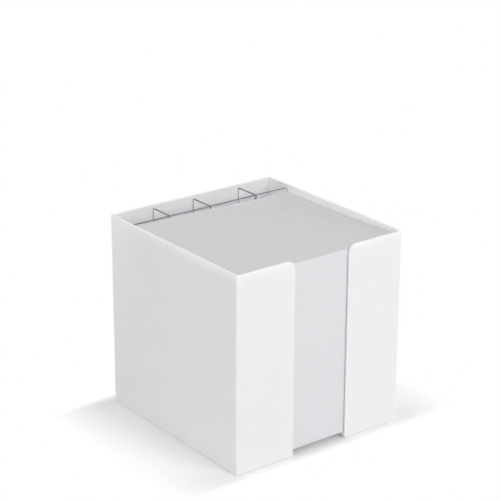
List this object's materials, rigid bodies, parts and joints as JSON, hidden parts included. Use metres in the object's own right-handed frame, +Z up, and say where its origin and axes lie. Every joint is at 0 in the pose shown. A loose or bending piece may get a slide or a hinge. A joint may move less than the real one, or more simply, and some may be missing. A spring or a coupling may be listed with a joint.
{
  "type": "memo box",
  "caption": "Square open-topped desk box for loose note paper, with a full-height finger slot in front and a clear lift-out divider for pens at the back.",
  "frame": {"origin": "centre of the box's footprint, on the surface that it stands on", "axes": "+X to the right seen from the finger slot, +Y from the finger slot to the pen cells, +Z up"},
  "size_m": [0.101, 0.105, 0.102],
  "materials": {
    "white_plastic": "satin",
    "clear_plastic": "gloss",
    "note_paper": "matte"
  },
  "bodies": {
    "box": {"holder_box": "white_plastic"},
    "divider": {"pen_divider": "clear_plastic"},
    "paper_block": {"memo_block": "note_paper"},
    "third_sheet": {"memo_sheet_third": "note_paper"},
    "second_sheet": {"memo_sheet_second": "note_paper"},
    "top_sheet": {"memo_sheet_top": "note_paper"}
  },
  "joints": [
    {"name": "divider_lift", "type": "slide", "parent": "box", "child": "divider", "axis": [0, 0, 1], "range_m": [0, 0.11]},
    {"name": "paper_block_lift", "type": "slide", "parent": "box", "child": "paper_block", "axis": [0, 0, 1], "range_m": [0, 0.11]},
    {"name": "third_sheet_lift", "type": "slide", "parent": "paper_block", "child": "third_sheet", "axis": [0, 0, 1], "range_m": [0, 0.02]},
    {"name": "second_sheet_lift", "type": "slide", "parent": "third_sheet", "child": "second_sheet", "axis": [0, 0, 1], "range_m": [0, 0.02]},
    {"name": "top_sheet_lift", "type": "slide", "parent": "second_sheet", "child": "top_sheet", "axis": [0, 0, 1], "range_m": [0, 0.02]}
  ]
}
